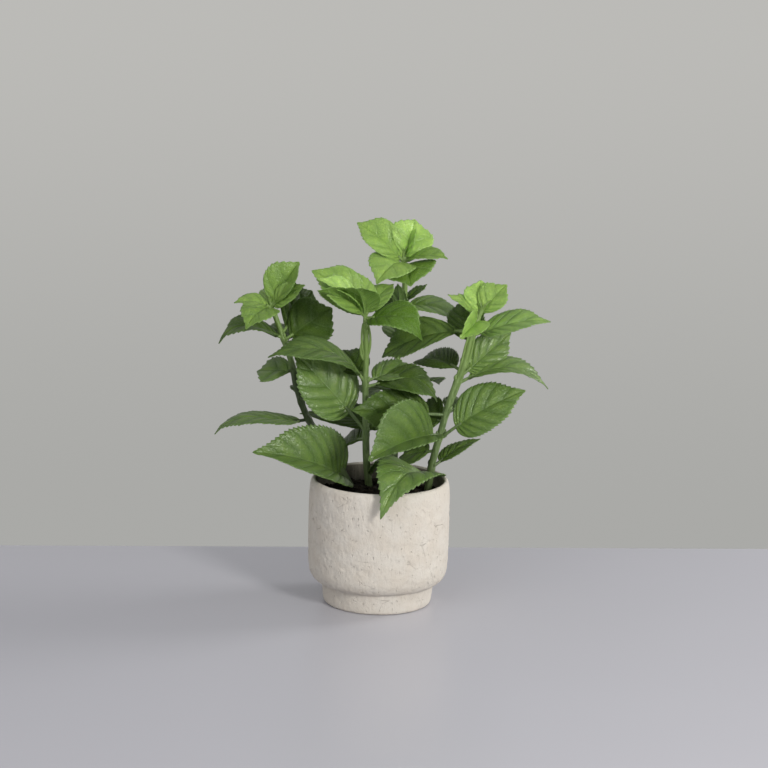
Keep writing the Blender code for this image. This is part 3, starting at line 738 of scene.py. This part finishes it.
def blade_surfaces(root, form, seed, puff, tooth_depth, thickness):
    """The upper and lower faces of a blade, and each point's number of veins along and share across.

    The middle line is the bowed chord, and the blade turns a little about it from root to tip. A wide
    leaf has a side vein for each third tooth, and a narrow one for each second. The blade is raised
    to a V, puffed up as the sine of the phase between two veins, crossed by a smaller wave, sunk along
    the midrib by exp(-x^2), and waved at its edges. Below, the ribs stand out where it sinks above.
    """
    chord, length, normal, side = leaf_axes(root, form)
    bare = form["petiole"] / length
    chance = np.random.default_rng(seed)
    shift = chance.uniform(0, 2 * math.pi, 4)
    turn = math.radians(chance.uniform(-TWIST_DEGREES, TWIST_DEGREES))
    teeth, m, t, s, half, near_edge, across, along = blade_outline(form, length * (1 - bare), tooth_depth)
    reach, spanned = np.abs(s), np.abs(across)

    u = bare + (1 - bare) * along[..., None]
    steep = form["arch"] * 4 * (1 - 2 * u) + form["hook"] * 6.75 * (2 * u - 3 * u**2)
    middle = root + u * chord + leaf_bow(form, u) * length * normal
    ahead = chord + steep * length * normal
    ahead = ahead / np.linalg.norm(ahead, axis=-1, keepdims=True)
    over = np.cross(side, ahead)
    twist = turn * (t[..., None] - 0.3)
    way = np.cos(twist) * side + np.sin(twist) * over
    over = np.cos(twist) * over - np.sin(twist) * side

    ramp = smooth_rise(half, 1.0, 4.0)
    fold = math.radians(form["fold"]) * ramp
    phase = round(teeth / (3 if form["width"] > WIDE_LEAF else 2)) * m
    crease = np.abs(np.sin(math.pi * phase))
    full = smooth_rise(reach, 0.03, 0.30) * (1 - 0.55 * reach**3) * half / (half + 4)
    set_off = 0.37 * np.sin(12.9 * np.floor(phase) + shift[0])
    small = np.cos(2 * math.pi * (spanned / SMALL_PUFF_PITCH + set_off))
    sway = np.where(s < 0, np.sin(7.5 * t + shift[1]), np.sin(6.5 * t + shift[2]))
    rise = (np.sqrt(spanned**2 + FOLD_ROUNDING**2) - FOLD_ROUNDING) * np.sin(fold)
    rise = rise + puff * full * (crease**0.85 + SMALL_PUFF * crease * small)
    rise = rise - MIDRIB_SINK * np.exp(-((across / MIDRIB_WIDTH) ** 2)) * (1 - 0.7 * t) * ramp
    rise = rise - EDGE_DROOP * half * reach**3
    rise = rise + EDGE_WAVE * reach**2 * sway * ramp
    rise = rise + TOOTH_WAVE * near_edge * np.cos(2 * math.pi * teeth * m + shift[3]) * ramp

    upper = middle + (across * np.cos(fold))[..., None] * way + rise[..., None] * over
    midrib = RIB_DEPTH * np.exp(-((across / RIB_WIDTH) ** 2)) * (1 - 0.75 * t)
    rib = midrib + SIDE_RIB_DEPTH * (1 - crease) ** 2 * full
    lower = upper - (thickness * (1 - 0.35 * near_edge) + rib)[..., None] * over
    return upper, lower, np.stack([phase + 0 * s, s + 0 * t], axis=-1)


def sheet_quads(rows, columns):
    """Faces of a thin closed sheet: its upper grid, its lower grid behind it and its four edges."""
    i, j = np.meshgrid(np.arange(rows - 1), np.arange(columns - 1), indexing="ij")
    a = i * columns + j
    upper = np.stack([a, a + 1, a + columns + 1, a + columns], axis=-1).reshape(-1, 4)
    below = rows * columns
    lower = below + upper[:, ::-1]
    down = np.arange(rows - 1) * columns
    left = np.stack([down, down + columns, below + down + columns, below + down], axis=-1)
    down = down + columns - 1
    right = np.stack([down, below + down, below + down + columns, down + columns], axis=-1)
    over = np.arange(columns - 1)
    base = np.stack([over, below + over, below + over + 1, over + 1], axis=-1)
    over = over + (rows - 1) * columns
    point = np.stack([over, over + 1, below + over + 1, below + over], axis=-1)
    return np.vstack([upper, lower, left, right, base, point])


def petiole_line(root, form):
    """The leaf's own middle line from the stem to just inside the blade, sinking to below the blade."""
    chord, length, normal, _ = leaf_axes(root, form)
    u = np.linspace(0, form["petiole"] / length + 0.07, 14)[:, None]
    line = root + u * chord + leaf_bow(form, u) * length * normal
    return line - 0.45 * smooth_rise(u, 0, u[-1, 0]) * normal


def make_leaves(name, roots, forms, seed, finishes, puff, tooth_depth, thickness, extra=()):
    """All the leaves of one stalk in one mesh: blades, then their stalks, then any extra tubes.

    Each corner carries its place among the veins. Each point carries its leaf's tone, partly painted
    shade, and 0 on an upper face, 1 on a lower one and 0.5 on a tube.
    """
    parts, marks, tones, unders = [], [], [], []
    for number, (root, form) in enumerate(zip(roots, forms)):
        upper, lower, grid = blade_surfaces(root, form, seed + number, puff, tooth_depth, thickness)
        rows, columns = upper.shape[:2]
        points = np.concatenate([upper.reshape(-1, 3), lower.reshape(-1, 3)])
        parts.append((points, sheet_quads(rows, columns), np.zeros((0, 3), int)))
        marks.append(np.tile(grid.reshape(-1, 2), (2, 1)))
        tones.append(np.full(len(points), form["tone_and_shade"]))
        unders.append(np.repeat([0.0, 1.0], rows * columns))
    blade_faces = sum(len(quads) for _, quads, _ in parts)
    tubes = []
    for root, form in zip(roots, forms):
        tubes.append((petiole_line(root, form), PETIOLE_RADIUS, 0.8 * PETIOLE_RADIUS, form["tone_and_shade"]))
    for line, wide, thin, tone_and_shade in [*tubes, *extra]:
        radius = np.repeat(np.linspace(wide, thin, len(line))[:, None], PETIOLE_COLUMNS, axis=1)
        parts.append(closed_tube(line, radius))
        count = len(parts[-1][0])
        marks.append(np.zeros((count, 2)))
        tones.append(np.full(count, tone_and_shade))
        unders.append(np.full(count, 0.5))
    surface = joined(parts)
    on_tube = np.arange(len(surface[1]) + len(surface[2])) >= blade_faces
    made = make_piece(name, surface, finishes, on_tube)
    mesh = made.data
    corner = np.empty(len(mesh.loops), np.int32)
    mesh.loops.foreach_get("vertex_index", corner)
    layer = mesh.uv_layers.new(name="blade")
    layer.uv.foreach_set("vector", np.vstack(marks)[corner].astype(np.float32).ravel())
    for label, values in (("tone_and_shade", tones), ("under", unders)):
        held = mesh.attributes.new(label, "FLOAT", "POINT")
        held.data.foreach_set("value", np.concatenate(values).astype(np.float32))
    return made


def tinted(tree, share, colour, tint):
    """A colour moved by a share towards itself times a tint."""
    return mixed(tree, share, colour, mixed(tree, 1.0, colour, tint, "MULTIPLY"))


def leaf_finish(name, greens, glow, gloss_and_painted_sheen):
    """Leaf skin that is mottled and finely netted, with sunk veins, a paler back and light through it.

    Side veins lie where the marks along the blade are whole numbers, and the midrib where the marks
    across it are 0. The paler leaves have the higher gloss. The crests between side veins carry a
    painted highlight and the valleys along them a painted shade, both stronger with more gloss.
    """
    finish, tree, shader = new_finish(name)
    where = node(tree, "TexCoord", {}).outputs["Object"]
    tone_and_shade = node(tree, "Attribute", {}, attribute_name="tone_and_shade").outputs["Fac"]
    under = node(tree, "Attribute", {}, attribute_name="under").outputs["Fac"]
    above = sums(tree, "SUBTRACT", 1.0, under)
    marks = node(tree, "SeparateXYZ", {"Vector": node(tree, "UVMap", {}, uv_map="blade").outputs[0]}).outputs
    reach = sums(tree, "ABSOLUTE", marks["Y"])
    from_vein = sums(tree, "PINGPONG", marks["X"], 0.5)
    side_vein = times(tree, spread(tree, from_vein, 0.085, 0.02), spread(tree, reach, 0.98, 0.55, 0.1, 0.85))
    veins = sums(tree, "MAXIMUM", spread(tree, reach, 0.055, 0.015), side_vein)
    # Painted highlight along the crests between side veins, on the upper face
    crest_highlight = times(tree, spread(tree, from_vein, 0.14, 0.42), spread(tree, reach, 0.95, 0.55))
    crest_highlight = times(tree, crest_highlight, above)
    # Painted shade in the valleys along the side veins, on the upper face
    valley_shade = times(tree, spread(tree, from_vein, 0.20, 0.03), above)
    net = spread(tree, cells(tree, where, 480, "DISTANCE_TO_EDGE"), 0.09, 0.01)
    broad = cloud(tree, where, 45, 3)
    mottle = cloud(tree, where, 330, 4, 0.6)

    # The leaf's tone, partly painted shade, picks its green from dark to pale
    skin = mixed(tree, tone_and_shade, greens["dark"], greens["pale"])
    skin = tinted(tree, spread(tree, broad, 0.35, 0.65, 0, 0.35), skin, BROAD_SHADE)
    skin = tinted(tree, spread(tree, mottle, 0.40, 0.70, 0, 0.45), skin, MOTTLE_LIGHT)
    # Painted highlight on the crests and painted shade in the valleys
    skin = tinted(tree, times(tree, crest_highlight, 0.75 * gloss_and_painted_sheen), skin, CREST_PAINTED_HIGHLIGHT)
    skin = tinted(tree, times(tree, valley_shade, 0.45 * gloss_and_painted_sheen), skin, VALLEY_PAINTED_SHADE)
    skin = mixed(tree, spread(tree, reach, 0.90, 1.0, 0, 0.35), skin, greens["vein"])
    skin = mixed(tree, times(tree, net, 0.16), skin, greens["vein"])
    vein_share = times(tree, veins, sums(tree, "ADD", 0.12, times(tree, under, 0.48)))
    skin = mixed(tree, vein_share, skin, greens["vein"])
    skin = mixed(tree, times(tree, under, 0.45), skin, greens["back"])
    tree.links.new(skin, shader.inputs["Base Color"])

    down_or_up = sums(tree, "SUBTRACT", times(tree, under, 2.0), 1.0)
    relief = times(tree, weighted(tree, veins, (net, 0.9)), down_or_up)
    relief = weighted(tree, relief, (mottle, 1.7), (cloud(tree, where, 1400, 2), 0.35))
    bump = bumped(tree, shader, relief, 0.85, 0.3)
    tree.links.new(spread(tree, mottle, 0.3, 0.7, 0.30, 0.46), shader.inputs["Roughness"])
    tree.links.new(spread(tree, tone_and_shade, 0.1, 0.5, 0.22, gloss_and_painted_sheen), shader.inputs["Specular IOR Level"])
    tree.links.new(spread(tree, tone_and_shade, 0.15, 0.45, 0.0, 0.5 * gloss_and_painted_sheen), shader.inputs["Coat Weight"])
    tree.links.new(bump, shader.inputs["Coat Normal"])
    shader.inputs["Coat Roughness"].default_value = 0.22

    lit = mixed(tree, 1.0, skin, LIGHT_THROUGH, "MULTIPLY")
    through = node(tree, "BsdfTranslucent", {"Color": lit, "Normal": bump})
    both = node(tree, "MixShader", {0: glow, 1: shader.outputs[0], 2: through.outputs[0]})
    tree.links.new(both.outputs[0], tree.nodes["Material Output"].inputs["Surface"])
    return finish


mature_skin = leaf_finish("mature_leaf_skin", MATURE_GREENS, glow=0.20, gloss_and_painted_sheen=0.75)
mature_blade = {"puff": BLADE_PUFF, "tooth_depth": TOOTH_DEPTH, "thickness": BLADE_THICKNESS}
for number, (side, forms) in enumerate(MATURE_LEAVES.items()):
    roots = [point_at(stalk[side], form["height"]) for form in forms]
    finishes = [mature_skin, stalk_green]
    made = make_leaves(side + "_leaves", roots, forms, 100 * number, finishes, **mature_blade)
    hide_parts(side + "_stem")


# The young tips stand on top of the stalks: small pale leaves in pairs round a short core, still
# half folded and soft, with a tight bud of closed leaflets between them.

# Each young leaf's tone is partly its own colour and partly painted shade for leaves in shade.
YOUNG_LEAVES = {
    "front": [
        leaf(205, (27, -24, 194), 34, 4, arch=0.14, roll=26, fold=12, hook=0.16, tone_and_shade=0.10),
        leaf(206, (-51, -6, 238), 34, 3, arch=0.14, roll=-44, fold=15, widest=0.5, tone_and_shade=0.62),
        leaf(206, (-46, -34, 229), 26, 3, arch=0.10, roll=30, fold=10, tone_and_shade=0.20),
        leaf(207, (-46, -21, 235), 20, 3, arch=0.12, roll=-36, fold=24, widest=0.6, tone_and_shade=0.95),
        leaf(207, (-20, -38, 232), 26, 3, arch=0.12, roll=0, fold=10, tone_and_shade=0.45),
        leaf(207, (6, 18, 226), 22, 3, arch=0.10, roll=10, fold=15, tone_and_shade=0.5),
        leaf(208, (-14, 34, 223), 24, 3, arch=0.14, roll=0, fold=12, tone_and_shade=0.5),
        leaf(208, (-22, 16, 235), 24, 3, arch=0.05, roll=0, fold=15, tone_and_shade=0.75),
    ],
    "right": [
        leaf(206, (53, -18, 195), 32, 3, arch=0.12, roll=-50, fold=60, tone_and_shade=0.85),
        leaf(207, (44, 4, 222), 18, 3, arch=0.08, roll=-14, fold=14, tone_and_shade=0.75),
        leaf(207, (71, 38, 213), 20, 3, arch=0.12, roll=0, fold=10, tone_and_shade=0.5),
        leaf(208, (85, 4, 230), 25, 3, arch=0.08, roll=40, fold=14, widest=0.5, tone_and_shade=0.72),
        leaf(208, (67, 14, 231), 24, 3, arch=0.04, roll=0, fold=14, widest=0.5, tone_and_shade=0.98),
    ],
    "back": [
        leaf(236, (18, 10, 226), 44, 3, arch=0.16, roll=10, fold=8, widest=0.34, tone_and_shade=0.22),
        leaf(237, (-6, 10, 227), 36, 3, arch=0.20, roll=-15, fold=12, tone_and_shade=0.68),
        leaf(237, (0, 74, 244), 26, 3, arch=0.14, roll=0, fold=12, tone_and_shade=0.5),
        leaf(238, (-21, 44, 265), 29, 3, arch=0.12, roll=-50, fold=24, widest=0.5, tone_and_shade=0.74),
        leaf(238, (44, 30, 243), 24, 3, arch=0.14, roll=16, fold=15, tone_and_shade=0.42),
        leaf(239, (20, 54, 267), 33, 3, arch=0.12, roll=40, fold=12, widest=0.5, tone_and_shade=0.95),
        leaf(239, (21, 43, 262), 19, 3, arch=0.02, roll=0, fold=14, tone_and_shade=0.95),
    ],
    "left": [
        leaf(205, (-96, -8, 196), 28, 3, arch=0.20, roll=-10, fold=10, tone_and_shade=0.45),
        leaf(206, (-106, 16, 210), 20, 3, arch=0.14, roll=-20, fold=14, tone_and_shade=0.6),
        leaf(206, (-81, 56, 213), 20, 3, arch=0.12, roll=0, fold=10, tone_and_shade=0.5),
        leaf(207, (-56, 10, 225), 18, 3, arch=0.10, roll=60, fold=14, tone_and_shade=0.6),
        leaf(208, (-61, 24, 239), 35, 2, arch=0.05, roll=48, fold=42, widest=0.5, tone_and_shade=0.5),
    ],
}
YOUNG_PUFF = 0.8
YOUNG_TOOTH_DEPTH = 0.45
YOUNG_THICKNESS = 0.38
LEAST_ROOT_HEIGHT = 1.9
CORE_LENGTH = 11.0
CORE_TONE = 0.4
LEAFLET_COUNT = 6
LEAFLET_LENGTH = 7.5
LEAFLET_TURN = 2.4
LEAFLET_TONE = 0.35

# The dark green is partly painted shade, as for the mature leaves.
YOUNG_GREENS = {
    "dark": (0.062, 0.155, 0.003, 1),
    "pale": (0.435, 0.665, 0.165, 1),
    "vein": (0.46, 0.68, 0.25, 1),
    "back": (0.24, 0.40, 0.09, 1),
}


def core_tube(top, ahead):
    """The tip's core: a tapering tube straight on from the stalk, and its two radii and tone."""
    line = top + np.linspace(0.02, CORE_LENGTH - 1.5, 10)[:, None] * ahead
    return line, STALK_TOP_RADIUS, 1.0, CORE_TONE


def bud_tubes(top, ahead, seed):
    """Closed leaflets of a bud: short tubes that lean out more and more from the core's top.

    At the share t of its length, a leaflet is t ahead and t(0.15 + 0.35t) out, both times its length.
    """
    chance = np.random.default_rng(seed)
    made = []
    for number in range(LEAFLET_COUNT):
        turn = LEAFLET_TURN * number
        out = np.array([math.cos(turn), math.sin(turn), 0.0])
        t = np.linspace(0, 1, 8)[:, None]
        size = LEAFLET_LENGTH - 0.5 * number + chance.uniform(-0.8, 0.8)
        line = top - 2 * ahead + size * t * (ahead + out * (0.15 + 0.35 * t))
        made.append((line, 1.0, 0.2, LEAFLET_TONE))
    return made


young_skin = leaf_finish("young_leaf_skin", YOUNG_GREENS, glow=0.22, gloss_and_painted_sheen=0.40)
young_blade = {"puff": YOUNG_PUFF, "tooth_depth": YOUNG_TOOTH_DEPTH, "thickness": YOUNG_THICKNESS}
for number, (side, forms) in enumerate(YOUNG_LEAVES.items()):
    start = TIP_START[side]
    top, below = point_at(stalk[side], start), point_at(stalk[side], start - 5)
    ahead = (top - below) / np.linalg.norm(top - below)
    roots = [top + max(LEAST_ROOT_HEIGHT, form["height"] - top[2]) * ahead for form in forms]
    extra = [core_tube(top, ahead), *bud_tubes(top + CORE_LENGTH * ahead, ahead, 50 + number)]
    finishes = [young_skin, stalk_green]
    name, seed = side + "_young_leaves", 40 + 100 * number
    made = make_leaves(name, roots, forms, seed, finishes, **young_blade, extra=extra)
    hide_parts(side + "_tip")


# The stage is a smooth pale table top before an even grey surround. A low key light stands at the
# front right, a soft light to the right and behind, and a weak one at the front left. The camera
# looks a little down on the plant.

TABLE_REACH = 3000.0
TABLE_BACK_LEFT, TABLE_BACK_RIGHT = -98.0, 370.0
TABLE_SHADE = (0.495, 0.492, 0.534, 1)
TABLE_LIGHT = (0.533, 0.530, 0.572, 1)
SURROUND_LOW = (0.40, 0.40, 0.385, 1)
SURROUND_BEHIND = (0.50, 0.495, 0.475, 1)
SURROUND_HIGH = (0.40, 0.40, 0.405, 1)
LIGHTS_AIM = (0, 0, 130)


def table_finish():
    """Smooth paint, faintly cloudy, with a soft sheen."""
    finish, tree, shader = new_finish("pale_table")
    where = node(tree, "TexCoord", {}).outputs["Object"]
    paint = mixed(tree, cloud(tree, where, 3, 2), TABLE_SHADE, TABLE_LIGHT)
    tree.links.new(paint, shader.inputs["Base Color"])
    shader.inputs["Roughness"].default_value = 0.32
    shader.inputs["Specular IOR Level"].default_value = 0.35
    return finish


def soft_light(name, place, size, power, colour):
    """A square studio light that faces the plant's middle."""
    lamp = bpy.data.lights.new(name, "AREA")
    lamp.shape = "SQUARE"
    lamp.size = size * MM
    lamp.energy = power
    lamp.color = colour
    made = bpy.data.objects.new(name, lamp)
    made.location = [x * MM for x in place]
    made.rotation_mode = "QUATERNION"
    made.rotation_quaternion = (Vector(LIGHTS_AIM) - Vector(place)).to_track_quat("-Z", "Y")
    bpy.context.scene.collection.objects.link(made)


table = bpy.data.meshes.new("table_top")
edge = TABLE_REACH * MM
back_right, back_left = (edge, TABLE_BACK_RIGHT * MM, 0), (-edge, TABLE_BACK_LEFT * MM, 0)
table.from_pydata([(-edge, -edge, 0), (edge, -edge, 0), back_right, back_left], [], [(0, 1, 2, 3)])
table.materials.append(table_finish())
floor = bpy.data.objects.new("table_top", table)
bpy.context.scene.collection.objects.link(floor)
floor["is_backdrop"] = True

world = bpy.data.worlds.new("pale_room")
bpy.context.scene.world = world
world.use_nodes = True
room = world.node_tree
climb = node(room, "SeparateXYZ", {"Vector": node(room, "TexCoord", {}).outputs["Generated"]}).outputs["Z"]
grey = mixed(room, spread(room, climb, -0.27, -0.05), SURROUND_LOW, SURROUND_BEHIND)
grey = mixed(room, spread(room, climb, 0.08, 0.22), grey, SURROUND_HIGH)
room.links.new(grey, room.nodes["Background"].inputs["Color"])

soft_light("key_light", (793, -1176, 640), size=300, power=12.6, colour=(1.0, 0.985, 0.95))
soft_light("right_light", (1267, 461, 788), size=500, power=7.5, colour=(1.0, 0.99, 0.98))
soft_light("left_light", (-655, -1135, 1048), size=900, power=3.7, colour=(0.98, 0.99, 1.0))

CAMERA_AIM = np.array([1.1, 0, 157.7])
CAMERA_AWAY = 1700.0
CAMERA_DOWN = math.radians(12.1)
CAMERA_LEAN = math.radians(1.5)
SENSOR_WIDTH = 36
PICTURE_PIXELS = 768
LENS_PIXELS = 2423
toward = np.array([0, math.cos(CAMERA_DOWN), -math.sin(CAMERA_DOWN)])
upright = np.array([0, math.sin(CAMERA_DOWN), math.cos(CAMERA_DOWN)])
sideways = np.array([1.0, 0, 0])
right = math.cos(CAMERA_LEAN) * sideways + math.sin(CAMERA_LEAN) * upright
up = math.cos(CAMERA_LEAN) * upright - math.sin(CAMERA_LEAN) * sideways
place = (CAMERA_AIM - CAMERA_AWAY * toward) * MM
lens = bpy.data.cameras.new("camera")
lens.lens = LENS_PIXELS / PICTURE_PIXELS * SENSOR_WIDTH
lens.sensor_width = SENSOR_WIDTH
lens.clip_start, lens.clip_end = 0.05, 50
camera = bpy.data.objects.new("camera", lens)
camera.matrix_world = Matrix([[right[k], up[k], -toward[k], place[k]] for k in range(3)] + [[0, 0, 0, 1]])
bpy.context.scene.collection.objects.link(camera)
bpy.context.scene.camera = camera
bpy.context.scene.view_settings.view_transform = "Standard"

low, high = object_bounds()
